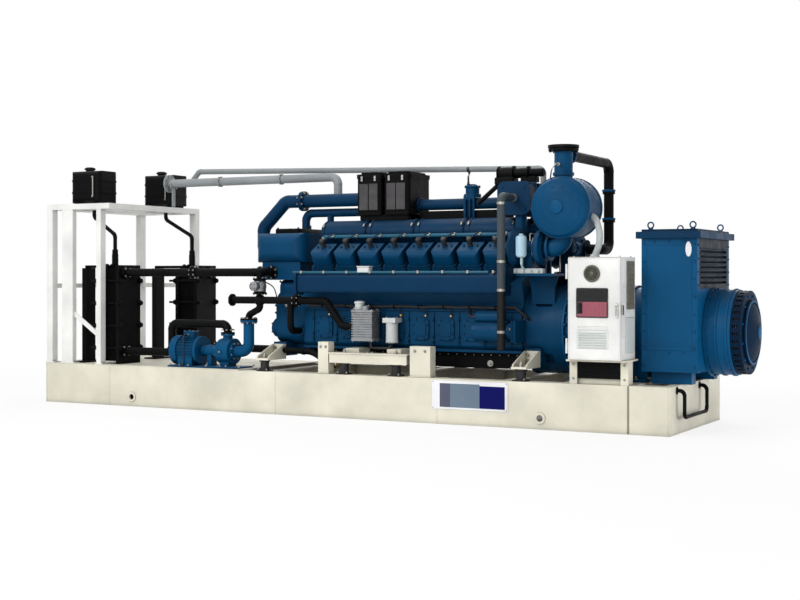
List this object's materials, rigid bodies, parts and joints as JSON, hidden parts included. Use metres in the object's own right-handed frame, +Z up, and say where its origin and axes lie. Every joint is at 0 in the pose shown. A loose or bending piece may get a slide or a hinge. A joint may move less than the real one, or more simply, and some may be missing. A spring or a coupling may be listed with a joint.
{
  "type": "gas generator set",
  "caption": "Skid-mounted V16 gas engine generator set with alternator, control panel, plate heat exchangers, header tanks and a circulation pump.",
  "frame": {"origin": "on the ground under the middle cross member, midway between the skid's ends and rails", "axes": "+X along the crankshaft towards the alternator, -Y towards the control panel side, +Z up"},
  "size_m": [7.5809, 1.741, 2.5807],
  "materials": {
    "blue_paint": "semi-gloss enamel",
    "cream_paint": "satin enamel",
    "white_paint": "semi-gloss powder coat",
    "black_paint": "semi-gloss enamel",
    "grey_paint": "satin enamel",
    "pale_paint": "satin enamel",
    "cast_aluminium": "cast, matt",
    "filter_white": "gloss enamel",
    "mount_rubber": "matt",
    "plated_steel": "zinc plated",
    "cable_black": "satin",
    "conduit_grey": "satin",
    "display_black": "gloss",
    "display_red": "satin",
    "filter_grey": "perforated sheet",
    "sign_white": "gloss",
    "sign_grey": "gloss",
    "sign_navy": "gloss",
    "brass_fitting": "turned"
  },
  "bodies": {
    "set": {"base_rails": "cream_paint", "base_cross_members": "cream_paint", "base_end_members": "cream_paint", "deck_plate": "cream_paint", "drag_loop": "black_paint", "frame_posts": "white_paint", "frame_rails": "white_paint", "header_tanks": "black_paint", "tank_downpipes": "black_paint", "phe_frames": "black_paint", "phe_plate_packs": "black_paint", "pump_casing": "blue_paint", "pump_motor": "blue_paint", "coolant_pipes_near": "black_paint", "coolant_pipes_far": "black_paint", "crankcase": "blue_paint", "oil_sump": "black_paint", "front_cover": "blue_paint", "thermostat_housing": "blue_paint", "crank_damper": "black_paint", "flywheel_housing": "blue_paint", "cylinder_heads": "blue_paint", "rocker_covers": "blue_paint", "inlet_plenums": "blue_paint", "exhaust_manifolds": "blue_paint", "turbochargers": "blue_paint", "charge_cooler": "blue_paint", "exhaust_riser": "blue_paint", "exhaust_crossover": "black_paint", "intake_pipe": "blue_paint", "air_filter_box": "black_paint", "oil_cooler": "cast_aluminium", "starter_motors": "blue_paint", "oil_filters": "filter_white", "engine_mounts": "cream_paint", "mount_rubbers": "mount_rubber", "overhead_pipes": "grey_paint", "alternator_frame": "blue_paint", "alternator_housing": "blue_paint", "alternator_lid": "blue_paint", "alternator_drum": "blue_paint", "alternator_vent_ring": "black_paint", "alternator_cap": "pale_paint", "panel_enclosure": "white_paint", "panel_stand": "cream_paint"},
    "door": {"panel_door": "white_paint"}
  },
  "joints": [
    {"name": "panel_door_hinge", "type": "hinge", "parent": "set", "child": "door", "pos_m": [2.61, -0.913, 1.085], "axis": [0, 0, -1], "range_deg": [0, 115]}
  ]
}
